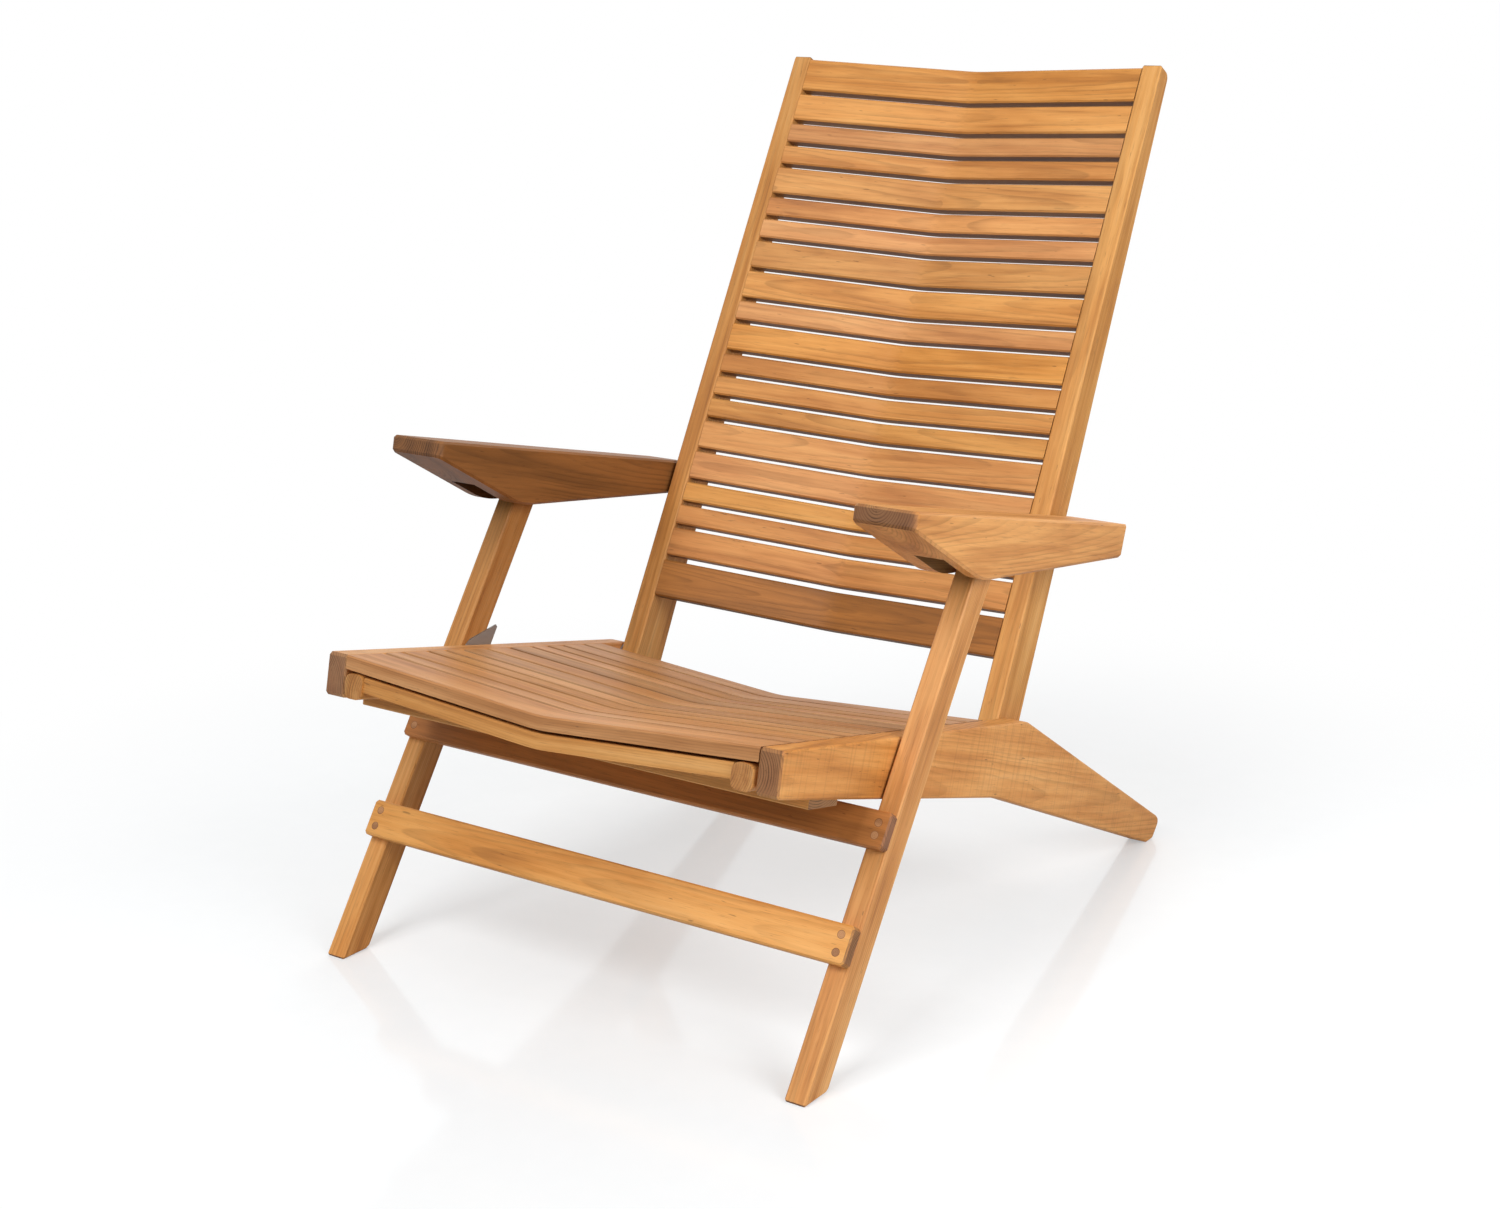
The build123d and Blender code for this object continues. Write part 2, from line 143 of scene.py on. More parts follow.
Feed = Union[Wire, Number, Sequence[float]]
Axes = tuple[Wire, Wire, Wire]


class Sheet:
    """The node tree of a material or of the world."""

    def __init__(self, name: str) -> None:
        """Starts an empty material of that name."""
        self._start(bpy.data.materials.new(name))

    @classmethod
    def on(cls, world: bpy.types.World) -> Sheet:
        """Starts the empty node tree of a world.

        Args:
            world: The world.

        Returns:
            Its sheet.
        """
        sheet = cls.__new__(cls)
        sheet._start(world)
        return sheet

    def _start(self, owner: Union[bpy.types.Material, bpy.types.World]) -> None:
        """Empties the node tree of a material or world.

        Args:
            owner: The material or world.
        """
        self.owner = owner
        owner.use_nodes = True
        self.tree = owner.node_tree
        self.tree.nodes.clear()

    def node(self, kind: str, settings: Mapping[str, Any], feeds: Mapping[Union[str, int], Feed],
             result: Union[str, int]) -> Wire:
        """Adds a node: its settings first, then the values or links of its sockets.

        Args:
            kind: Blender's type of the node.
            settings: Properties of the node; "stops" sets the stops of a colour ramp.
            feeds: Values or links by the input's identifier, name or number.
            result: Identifier, name or number of the output that is wanted.

        Returns:
            The wanted output.
        """
        made = self.tree.nodes.new(kind)
        for key, value in settings.items():
            if key == "stops":
                self._set_stops(made.color_ramp, value)
            else:
                setattr(made, key, value)
        for key, feed in feeds.items():
            socket = self._pick(made.inputs, key)
            if isinstance(feed, Wire):
                self.tree.links.new(feed.socket, socket)
            else:
                socket.default_value = feed
        return Wire(self, self._pick(made.outputs, result))

    @staticmethod
    def _pick(sockets: bpy.types.bpy_prop_collection, key: Union[str, int]) -> bpy.types.NodeSocket:
        """Finds a socket.

        Args:
            sockets: Inputs or outputs of a node.
            key: Number, identifier or name of the socket.

        Returns:
            The socket.
        """
        if isinstance(key, int):
            return sockets[key]
        return next((socket for socket in sockets if socket.identifier == key), None) or sockets[key]

    @staticmethod
    def _set_stops(ramp: bpy.types.ColorRamp, stops: Sequence[tuple[float, Colour]]) -> None:
        """Gives a colour ramp its stops.

        Args:
            ramp: The ramp.
            stops: Places from 0 to 1 with their colours.
        """
        while len(ramp.elements) < len(stops):
            ramp.elements.new(1.0)
        for element, (place, colour) in zip(ramp.elements, stops):
            element.position = place
            element.color = opaque(colour)

    def noise(self, place: Wire, scale: float, detail: float, roughness: float = 0.5) -> Wire:
        """Smooth noise at a place, about NOISE_MEAN on average."""
        return self.node("ShaderNodeTexNoise", {}, {"Vector": place, "Scale": scale, "Detail": detail,
                                                    "Roughness": roughness}, "Fac")

    def coordinates(self, kind: str) -> Wire:
        """Texture coordinates of that kind."""
        return self.node("ShaderNodeTexCoord", {}, {}, kind)

    def place(self, x: Feed, y: Feed, z: Feed) -> Wire:
        """A point made of three values."""
        return self.node("ShaderNodeCombineXYZ", {}, {"X": x, "Y": y, "Z": z}, "Vector")

    def split(self, point: Wire) -> Axes:
        """Takes a point apart.

        Args:
            point: The point.

        Returns:
            Its three values.
        """
        first = self.node("ShaderNodeSeparateXYZ", {}, {"Vector": point}, "X")
        x, y, z = (Wire(self, output) for output in first.socket.node.outputs)
        return x, y, z

    def ray(self, kind: str) -> Wire:
        """1 for light rays of that kind, 0 for the others."""
        return self.node("ShaderNodeLightPath", {}, {}, f"Is {kind} Ray")

    def mix(self, share: Feed, first: Feed, second: Feed) -> Wire:
        """Colour between two others."""
        return self.node("ShaderNodeMix", {"data_type": "RGBA"},
                         {"Factor_Float": share, "A_Color": first, "B_Color": second}, "Result_Color")

    def toned(self, colour: Feed, value: Feed, hue: float = 0.5, saturation: float = 1.0) -> Wire:
        """Colour made lighter or darker, with another hue and saturation where they are given."""
        return self.node("ShaderNodeHueSaturation", {},
                         {"Hue": hue, "Saturation": saturation, "Value": value, "Color": colour}, "Color")

    def finish(self, feeds: Mapping[Union[str, int], Feed]) -> bpy.types.Material:
        """Ends the material in one Principled shader.

        Args:
            feeds: Values or links of the shader's sockets.

        Returns:
            The material.
        """
        shader = self.node("ShaderNodeBsdfPrincipled", {}, feeds, "BSDF")
        self.end("ShaderNodeOutputMaterial", shader)
        return self.owner

    def end(self, kind: str, shader: Wire) -> None:
        """Links a shader to an output node of that type."""
        output = self.tree.nodes.new(kind)
        self.tree.links.new(shader.socket, output.inputs["Surface"])


class Run(Enum):
    """Which way the grain of a piece runs."""

    ACROSS = "from side to side"
    ALONG = "down the length of the piece"


class Flat(Enum):
    """Which pair of faces of a piece shows the flat-sawn figure."""

    FRONT = "the faces seen from the front or above"
    SIDE = "the faces seen from the side"


@dataclass(frozen=True)
class Slot:
    """The milled slot in an arm's underside that the leg's top turns in, with shade painted inside it.

    The pivot of arm and leg is given along the arm's slope and above it. The slot reaches ahead of the
    pivot by its lead, behind it by its tail and above it by its rise.
    """

    pivot: tuple[float, float]
    lead: float = 0.1025
    tail: float = 0.05593
    rise: float = 0.0215
    across: float = 0.3
    half_width: float = 0.0165
    margin: float = 0.0004
    # How much shade is painted inside the slot.
    dark: float = 0.62

    def shade(self, x: Wire, along: Wire, above: Wire) -> Wire:
        """Painted shade inside the slot and on its walls, standing in for the shade in that recess.

        Args:
            x: Distance across the chair.
            along: Distance along the arm's slope.
            above: Distance above the arm's slope.

        Returns:
            The painted shade, and 0 outside the slot.
        """
        def within(distance: Wire, reach: float) -> Wire:
            """1 up to a reach and a margin, 0 past it."""
            return 1 - distance.between(reach + self.margin, reach + 2 * self.margin)

        middle = self.pivot[0] + (self.tail - self.lead) / 2
        in_width = within(abs(abs(x) - self.across), self.half_width)
        in_length = within(abs(along - middle), (self.tail + self.lead) / 2)
        return in_width * in_length * within(above, self.pivot[1] + self.rise) * self.dark


@dataclass(frozen=True)
class Cut:
    """How one kind of piece is sawn from the log and oiled.

    The tilt is the piece's turn about X in degrees, and the bend is the rise of its two wings from the
    middle as a share of their length. Ends say how dark its end grain is. Edges say how much shade is
    painted on its two narrow long faces, standing in for the shade in the gaps between slats, and that
    painted shade starts where a face turns that far to the side. Arcs are how fast the heart of the log
    leaves the flat face, which draws the figure's arcs. The drift is how much darker a board is painted
    over a metre of its grain, painted shade that stands in for the arms' shadow on the legs. The heart is
    its place, to the side and in depth, where it isn't left to chance. A slot paints shade inside an arm's
    slot.
    chance.
    """

    tilt: float
    run: Run
    flat: Flat = Flat.FRONT
    tone: float = 1.0
    streaks: float = 0.32
    ends: float = 0.8
    edges: float = 0.0
    painted_edge_start: float = 0.6
    bend: float = 0.0
    arcs: float = 0.0
    saw_marks: float = 0.0
    painted_shade_drift: float = 0.0
    heart: Optional[tuple[float, float]] = None
    slot: Optional[Slot] = None

    def slope(self) -> Vector:
        """Direction up the slope of the piece, in the chair's frame."""
        turn = math.radians(self.tilt)
        return Vector((0.0, math.cos(turn), math.sin(turn)))

    def grain(self) -> Vector:
        """Direction of the grain in the chair's frame."""
        return Vector((1.0, 0.0, 0.0)) if self.run is Run.ACROSS else self.slope()

    def side(self) -> Vector:
        """Direction across the grain in the chair's frame."""
        return self.slope() if self.run is Run.ACROSS else Vector((1.0, 0.0, 0.0))


@dataclass(frozen=True)
class Board:
    """One piece of wood: its cut, and where it lay in the log."""

    node: str
    cut: Cut
    pith: tuple[float, float]
    slants: tuple[float, float]
    tone: float
    hue: float
    saturation: float
    shift: float


@dataclass(frozen=True)
class Timber:
    """The stack that the boards come from, and how far they differ from each other."""

    pith_depths: tuple[float, float] = (0.016, 0.045)
    pith_side: float = 0.012
    slant: float = 0.009
    arc_shares: tuple[float, ...] = (-1.0, -0.7, 0.2, 0.4, 1.0)
    tones: tuple[float, float] = (0.91, 1.07)
    plain_hue: float = 0.5
    hue_spread: float = 0.003
    saturations: tuple[float, float] = (0.95, 1.03)
    shift_spread: float = 3.0

    def board(self, node: str, cut: Cut) -> Board:
        """Picks a board for a piece from its name, so that it is the same each time.

        Args:
            node: Name of the piece.
            cut: How that kind of piece is sawn.

        Returns:
            The board.
        """
        pick = random.Random(node)
        far = pick.uniform(*self.pith_depths) * pick.choice((-1, 1))
        near = pick.uniform(-self.pith_side, self.pith_side)
        small = pick.uniform(-self.slant, self.slant)
        large = cut.arcs * pick.choice(self.arc_shares)
        front = cut.flat is Flat.FRONT
        return Board(node, cut,
                     pith=cut.heart or ((near, far) if front else (far, near)),
                     slants=(small, large) if front else (large, small),
                     tone=cut.tone * pick.uniform(*self.tones),
                     hue=self.plain_hue + pick.uniform(-self.hue_spread, self.hue_spread),
                     saturation=pick.uniform(*self.saturations),
                     shift=pick.uniform(-self.shift_spread, self.shift_spread))


@dataclass(frozen=True)
class Pattern:
    """A pattern in the wood: how often it changes in a metre along the grain and across it.

    The two starts say how much of a board's own shift moves it along the grain and in depth, and the band
    gives the values between which it begins to show.
    """

    along: float
    across: float
    detail: float = 1.0
    roughness: float = 0.5
    start_along: float = 0.0
    start_depth: float = 0.0
    band: Optional[tuple[float, float]] = None

    def draw(self, sheet: Sheet, axes: Axes, shift: float) -> Wire:
        """Draws the pattern on a board.

        Args:
            sheet: The material's node tree.
            axes: Distances along the grain, to the side and in depth.
            shift: The board's own shift.

        Returns:
            The pattern, from 0 to 1.
        """
        along, side, depth = axes
        place = sheet.place((along * self.along).moved(shift * self.start_along), side * self.across,
                            (depth * self.across).moved(shift * self.start_depth))
        noise = sheet.noise(place, scale=1.0, detail=self.detail, roughness=self.roughness)
        return noise.between(*self.band) if self.band else noise


@dataclass(frozen=True)
class OiledTeak:
    """Oiled teak: growth rings as a solid figure, streaks, pores, flecks and darker end grain."""

    pale: Colour = srgb(227, 171, 106)
    honey: Colour = srgb(215, 154, 87)
    brown: Colour = srgb(197, 133, 68)
    dark: Colour = srgb(160, 102, 51)
    end_grain: Colour = srgb(116, 80, 58)
    stops: tuple[float, ...] = (0.3, 0.45, 0.58, 0.75)

    # Growth rings and the heart that they go round
    rings: float = 370.0
    ring_spread: float = 2.2
    late_start: float = 0.45
    late_end: float = 0.93
    faint_rings: float = 0.35
    sway: float = 0.007
    sway_rates: tuple[float, float] = (2.4, 3.0)
    sway_across: float = 2.0
    sway_detail: float = 2.0
    ripple_depth: float = 0.0012

    # Broad bands that follow the rings
    band_rate: float = 95.0
    band_drift: float = 1.2
    band_detail: float = 2.0
    band_roughness: float = 0.55
    band_share: float = 0.5
    cloud_share: float = 0.5
    lift: float = 0.03

    # Patterns along the grain
    ripple: Pattern = Pattern(14.0, 30.0, start_along=1.0)
    patch: Pattern = Pattern(7.0, 40.0, start_depth=1.0, band=(0.38, 0.62))
    cloud: Pattern = Pattern(5.0, 28.0, 3.0, 0.6, start_along=1.0)
    streak: Pattern = Pattern(5.0, 170.0, 3.0, 0.6, start_along=-1.0)
    fibre: Pattern = Pattern(16.0, 800.0, 2.0)
    pore: Pattern = Pattern(45.0, 1300.0, band=(0.6, 0.72))
    fleck: Pattern = Pattern(55.0, 330.0, start_depth=1.0, band=(0.74, 0.8))
    saw_mark: Pattern = Pattern(330.0, 9.0, band=(0.5, 0.7))

    # How much each of them darkens the wood
    lines: float = 0.19
    end_lines: float = 0.5
    fibre_shade: float = 0.12
    pore_shade: float = 0.2
    fleck_shade: float = 0.45

    # Cosines from which a face counts as end grain, and as square to a direction
    end_start: float = 0.25
    square: float = 0.95

    # Gloss and relief
    gloss: float = 0.4
    specular: float = 0.27
    fibre_roughness: float = 0.12
    end_roughness: float = 0.15
    late_roughness: float = 0.05
    fibre_height: float = 0.5
    pore_depth: float = 0.6
    late_depth: float = 0.25
    relief: float = 0.0004
    relief_strength: float = 0.2

    def dress(self, board: Board) -> bpy.types.Material:
        """Makes the wood of one board.

        Args:
            board: How the piece was cut.

        Returns:
            The material.
        """
        sheet = Sheet(f"teak_{board.node}")
        axes = self._axes(sheet, board)
        radius = self._radius(sheet, board, axes)
        band_place = sheet.place(radius * self.band_rate + board.shift, axes[0] * self.band_drift,
                                 board.shift)
        bands = sheet.noise(band_place, 1.0, self.band_detail, self.band_roughness)
        ring = (radius * self.rings + bands * self.ring_spread).fraction()
        patch = self.patch.draw(sheet, axes, board.shift)
        late = (ring.between(self.late_start, self.late_end) * (1 - ring.between(self.late_end, 1.0))
                * (self.faint_rings + patch * (1 - self.faint_rings)))
        fibre = self.fibre.draw(sheet, axes, board.shift)
        pore = self.pore.draw(sheet, axes, board.shift)
        end = self._facing(sheet, board.cut.grain(), self.end_start)
        light = ((1 - self.fibre_shade / 2 + fibre * self.fibre_shade)
                 * (1 - late * (self.lines + end * self.end_lines)) * (1 - pore * self.pore_shade)
                 * self._wear_and_painted_shade(sheet, board, axes))
        colour = sheet.toned(self._colour(sheet, board, axes, bands, end), light * board.tone, board.hue,
                             board.saturation)
        rough = (self.gloss + fibre * self.fibre_roughness + end * self.end_roughness
                 + late * self.late_roughness)
        height = fibre * self.fibre_height - pore * self.pore_depth - late * self.late_depth
        bump = sheet.node("ShaderNodeBump", {}, {"Strength": self.relief_strength, "Distance": self.relief,
                                                 "Height": height}, "Normal")
        return sheet.finish({"Base Color": colour, "Roughness": rough, "Normal": bump,
                             "Specular IOR Level": self.specular})

    def _colour(self, sheet: Sheet, board: Board, axes: Axes, bands: Wire, end: Wire) -> Wire:
        """Colour of the wood before its lines and pores: bands, clouds and streaks, and darker end grain.

        Args:
            sheet: The material's node tree.
            board: How the piece was cut.
            axes: Distances along the grain, to the side and in depth.
            bands: The broad bands that follow the rings.
            end: 1 on end grain, 0 on the long faces.

        Returns:
            The colour.
        """
        cloud = self.cloud.draw(sheet, axes, board.shift)
        streak = self.streak.draw(sheet, axes, board.shift) - NOISE_MEAN
        figure = bands * self.band_share + cloud * self.cloud_share + streak * board.cut.streaks + self.lift
        colours = (self.dark, self.brown, self.honey, self.pale)
        ramp = sheet.node("ShaderNodeValToRGB", {"stops": tuple(zip(self.stops, colours))}, {"Fac": figure},
                          "Color")
        return sheet.mix(end * board.cut.ends, ramp, opaque(self.end_grain))

    def _wear_and_painted_shade(self, sheet: Sheet, board: Board, axes: Axes) -> Wire:
        """Light left by flecks and saw marks, with painted shade on the narrow long faces, along the grain
        and inside a slot.

        Args:
            sheet: The material's node tree.
            board: How the piece was cut.
            axes: Distances along the grain, to the side and in depth.

        Returns:
            The light, 1 where the wood is clear.
        """
        cut = board.cut
        fleck = self.fleck.draw(sheet, axes, board.shift)
        mark = self.saw_mark.draw(sheet, axes, board.shift)
        # Shade painted on the narrow long faces, standing in for the shade in the gaps between slats.
        painted_edge = self._facing(sheet, cut.side(), cut.painted_edge_start)
        light = (1 - fleck * self.fleck_shade) * (1 - painted_edge * cut.edges) * (1 - mark * cut.saw_marks)
        # Painted shade that grows along the grain, standing in for the arms' shadow on the legs.
        light = light * (1 - axes[0] * cut.painted_shade_drift)
        # Shade painted inside the arm's slot.
        if cut.slot:
            light = light * (1 - cut.slot.shade(*self._turned(sheet, cut.tilt, Vector((0.0, 0.0, 0.0)))))
        return light

    def _radius(self, sheet: Sheet, board: Board, axes: Axes) -> Wire:
        """Distance from the heart of the log, which wanders a little along the board.

        Args:
            sheet: The material's node tree.
            board: How the piece was cut.
            axes: Distances along the grain, to the side and in depth.

        Returns:
            The distance, in metres.
        """
        along, side, depth = axes
        aside, deeper = side * self.sway_across, depth * self.sway_across
        first_place = sheet.place(along + board.shift, aside, deeper)
        second_place = sheet.place(along - board.shift, deeper, aside)
        first = sheet.noise(first_place, self.sway_rates[0], self.sway_detail)
        second = sheet.noise(second_place, self.sway_rates[1], self.sway_detail)
        ripple = self.ripple.draw(sheet, axes, board.shift) - NOISE_MEAN
        off_side = side - board.pith[0] + along * board.slants[0] + (first - NOISE_MEAN) * self.sway
        off_depth = depth - board.pith[1] + along * board.slants[1] + (second - NOISE_MEAN) * self.sway
        return (off_side * off_side + off_depth * off_depth) ** 0.5 + ripple * self.ripple_depth

    def _facing(self, sheet: Sheet, direction: Vector, low: float) -> Wire:
        """How far a face looks along a direction or against it.

        Args:
            sheet: The material's node tree.
            direction: The direction in the chair's frame.
            low: Cosine below which the result is 0.

        Returns:
            0 on faces that run along the direction, 1 on faces square to it.
        """
        normal = sheet.coordinates("Normal")
        cosine = sheet.node("ShaderNodeVectorMath", {"operation": "DOT_PRODUCT"},
                            {0: normal, 1: tuple(direction)}, "Value")
        return abs(cosine).between(low, self.square)

    def _axes(self, sheet: Sheet, board: Board) -> Axes:
        """Distances from the middle of the board: along the grain, to the side and in depth.

        Args:
            sheet: The material's node tree.
            board: How the piece was cut.

        Returns:
            The three distances, in metres.
        """
        low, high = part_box(board.node)
        x, y, z = self._turned(sheet, board.cut.tilt, (Vector(low) + Vector(high)) / 2)
        return (x, y, z - abs(x) * board.cut.bend) if board.cut.run is Run.ACROSS else (y, x, z)

    @staticmethod
    def _turned(sheet: Sheet, tilt: float, middle: Vector) -> Axes:
        """Distances across the chair, up a slope and away from it.

        Args:
            sheet: The material's node tree.
            tilt: The slope's turn about X, in degrees.
            middle: Point that the distances start from.

        Returns:
            The three distances, in metres.
        """
        turn = math.radians(-tilt)
        start = Matrix.Rotation(turn, 3, "X") @ middle
        turned = sheet.node("ShaderNodeMapping", {}, {"Vector": sheet.coordinates("Object"),
                                                      "Rotation": (turn, 0.0, 0.0),
                                                      "Location": tuple(-start)}, "Vector")
        return sheet.split(turned)


HONEY_TEAK = OiledTeak()
SEAT_TEAK = OiledTeak(pale=srgb(224, 170, 112), honey=srgb(208, 150, 92), brown=srgb(187, 128, 72),
                      dark=srgb(150, 98, 54), lines=0.18)
BACK_TEAK = OiledTeak(pale=srgb(227, 166, 97), honey=srgb(211, 147, 80), brown=srgb(190, 125, 62),
                      dark=srgb(150, 94, 46), end_grain=srgb(106, 69, 45), lines=0.22)
BROWN_TEAK = OiledTeak(pale=srgb(188, 119, 48), honey=srgb(170, 106, 41), brown=srgb(149, 92, 34),
                       dark=srgb(124, 75, 27), lines=0.25)


@dataclass(frozen=True)
class PlugWood:
    """Turned plugs: rings about each plug's own axis inside a dark rim, some plugs darker than others.

    The plugs' rows are measured up the legs from their toe, and each pair stands a spread above and below
    its row.
    """

    name: str
    lean: float
    face: Colour = srgb(190, 138, 92)
    deep: Colour = srgb(112, 68, 38)
    toe: float = -0.42758
    across: float = 0.3
    rows: tuple[float, float] = (0.1583, 0.2755)
    row_change: float = 0.001
    spreads: tuple[float, float] = (0.009, 0.0065)
    radius: float = 0.0044
    rings: float = 620.0
    ring_wobble: float = 0.7
    ring_band: tuple[float, float] = (0.45, 0.95)
    rim_shares: tuple[float, float] = (0.78, 0.96)
    grain_rates: tuple[float, float] = (260.0, 900.0)
    mood_rates: tuple[float, float, float] = (3.3, 24.0, 70.0)
    mood_band: tuple[float, float] = (0.36, 0.64)
    plain_shade: float = 0.1
    mood_shade: float = 0.42
    ring_shade: float = 0.25
    rim_shade: float = 0.5
    grain_shade: float = 0.3
    roughness: float = 0.5
    grain_roughness: float = 0.1
    specular: float = 0.3

    def dress(self) -> bpy.types.Material:
        """Makes the plugs' wood.

        Returns:
            The material.
        """
        sheet = Sheet(self.name)
        x, along = self._place(sheet)
        off_middle = along - sum(self.rows) / 2
        off_row = abs(off_middle) - (self.rows[1] - self.rows[0]) / 2
        upper = off_middle.between(-self.row_change, self.row_change)
        side = abs(x) - self.across
        up = abs(off_row) - (self.spreads[0] + upper * (self.spreads[1] - self.spreads[0]))
        reach = (side * side + up * up) ** 0.5
        grain_place = sheet.place(x * self.grain_rates[0], along * self.grain_rates[1], 0.0)
        grain = sheet.noise(grain_place, scale=1.0, detail=2.0)
        mood_axes = zip((x, off_middle, off_row), self.mood_rates)
        mood_place = sheet.place(*(value * rate for value, rate in mood_axes))
        mood = sheet.noise(mood_place, scale=1.0, detail=0.0).between(*self.mood_band)
        ring = (reach * self.rings + grain * self.ring_wobble).fraction().between(*self.ring_band)
        rim = reach.between(*(self.radius * share for share in self.rim_shares))
        shade = (self.plain_shade + mood * self.mood_shade + ring * self.ring_shade + rim * self.rim_shade
                 + (grain - NOISE_MEAN) * self.grain_shade)
        return sheet.finish({"Base Color": sheet.mix(shade, opaque(self.face), opaque(self.deep)),
                             "Roughness": self.roughness + grain * self.grain_roughness,
                             "Specular IOR Level": self.specular})

    def _place(self, sheet: Sheet) -> tuple[Wire, Wire]:
        """Distances across the chair and up along the legs.

        Args:
            sheet: The material's node tree.

        Returns:
            The two distances, in metres.
        """
        turn = math.radians(self.lean)
        x, y, z = sheet.split(sheet.coordinates("Object"))
        return x, (y - self.toe) * math.cos(turn) + z * math.sin(turn)


@dataclass(frozen=True)
class BrushedSteel:
    """Grey steel with fine brush marks."""

    name: str
    grey: Colour = srgb(161, 159, 158)
    brush_rates: tuple[float, float, float] = (900.0, 60.0, 900.0)
    brush_shade: float = 0.3
    roughness: float = 0.42
    brush_roughness: float = 0.15

    def dress(self) -> bpy.types.Material:
        """Makes the steel.

        Returns:
            The material.
        """
        sheet = Sheet(self.name)
        stretched = sheet.node("ShaderNodeMapping", {}, {"Vector": sheet.coordinates("Object"),
                                                         "Scale": self.brush_rates}, "Vector")
        brush = sheet.noise(stretched, scale=1.0, detail=2.0)
        colour = sheet.toned(opaque(self.grey), 1 - self.brush_shade / 2 + brush * self.brush_shade)
        return sheet.finish({"Base Color": colour, "Metallic": 1.0,
                             "Roughness": self.roughness + brush * self.brush_roughness})


@dataclass
class SubAssembly:
    """A group of the chair's pieces that are dressed together."""

    nodes: Mapping[str, bpy.types.Object]

    def put(self, node: str, material: bpy.types.Material) -> None:
        """Gives a piece its material and reports it.

        Args:
            node: Name of the piece.
            material: Its material.
        """
        mesh = self.nodes[node].data
        mesh.materials.clear()
        mesh.materials.append(material)
        LOG.info("%s: %s", node, material.name)

    def named(self, start: str) -> list[str]:
        """Names of the pieces that start so, in order."""
        return sorted(name for name in self.nodes if name.startswith(start))

    def plank(self, node: str, cut: Cut, teak: OiledTeak = HONEY_TEAK) -> None:
        """Dresses one piece as a board of teak."""
        self.put(node, teak.dress(Timber().board(node, cut)))


@dataclass
class Seat(SubAssembly):
    """Rails that become the rear legs, the seat slats and the bearers under them."""

    slope: float = -12.1
    rail_grain: float = -18.0
    bend: float = 0.0685
    front_slat: str = "seat_slat_01"
    # How much shade is painted on the narrow long faces of the front slat and of the other slats.
    front_painted_edge_shade: float = 0.22
    slat_painted_edge_shade: float = 0.7

    def dress(self) -> None:
        """Dresses the seat's pieces."""
        for node in self.named("seat_rail"):
            self.plank(node, Cut(self.rail_grain, Run.ALONG, Flat.SIDE, arcs=0.02, saw_marks=0.12))
        for node in self.named("seat_slat"):
            # Shade painted on each slat's narrow long faces, less on the front slat.
            edges = self.front_painted_edge_shade if node == self.front_slat else self.slat_painted_edge_shade
            cut = Cut(self.slope, Run.ACROSS, tone=0.93, streaks=0.25, edges=edges, painted_edge_start=0.4,
                      bend=self.bend, arcs=0.012)
            self.plank(node, cut, SEAT_TEAK)
        for node in self.named("front_bearer") + self.named("rear_bearer"):
            self.plank(node, Cut(self.slope, Run.ACROSS))


@dataclass
class Footrest(SubAssembly):
    """Runners, bent front bar and slats that slide out from under the seat."""

    slope: float = -12.1
    bend: float = 0.0685

    def dress(self) -> None:
        """Dresses the footrest's pieces."""
        for node in self.named("footrest_runner"):
            self.plank(node, Cut(self.slope, Run.ALONG, Flat.SIDE, ends=0.35))
        self.plank("footrest_bar", Cut(self.slope, Run.ACROSS, tone=0.86, bend=self.bend, arcs=0.03))
        for node in self.named("footrest_slat"):
            # Shade painted on the slats' narrow long faces.
            self.plank(node, Cut(self.slope, Run.ACROSS, edges=0.35, bend=self.bend), SEAT_TEAK)


@dataclass
class Legs(SubAssembly):
    """Front legs with their crossrails, plugs, plates and pins.

    Each leg has its tone and its painted shade drift, and each crossrail its wood and its tone. The left
    leg's darker tone is partly darker wood and partly painted shade, and its drift paints the arm's shadow,
    darker toward its top.
    """

    lean: float = 55.758
    # Tone and painted shade drift: the left leg's lower tone is partly painted shade, and its drift paints
    # the arm's shadow.
    leg_tones_and_painted_shade: tuple[tuple[str, float, float], ...] = (("front_leg_left", 0.8, 0.95),
                                                       ("front_leg_right", 1.03, 0.1))
    # The upper crossrail's darker brown is partly brown wood and partly painted shade, standing in for the
    # seat's shadow.
    crossrail_looks: tuple[tuple[str, OiledTeak, float], ...] = (("leg_stretcher", HONEY_TEAK, 0.98),
                                                                 ("leg_crossrail", BROWN_TEAK, 1.3))

    def dress(self) -> None:
        """Dresses the leg frame's pieces."""
        for node, tone, painted_shade_drift in self.leg_tones_and_painted_shade:
            cut = Cut(self.lean, Run.ALONG, tone=tone, streaks=0.5, arcs=0.008, painted_shade_drift=painted_shade_drift)
            self.plank(node, cut)
        for node, teak, tone in self.crossrail_looks:
            self.plank(node, Cut(self.lean, Run.ACROSS, tone=tone, arcs=0.02), teak)
        self.put("crossrail_plugs", PlugWood("plug_wood", self.lean).dress())
        self.put("leg_plates", BrushedSteel("plate_steel").dress())
        self.put("leg_pivot_pins", BrushedSteel("leg_pin_steel").dress())


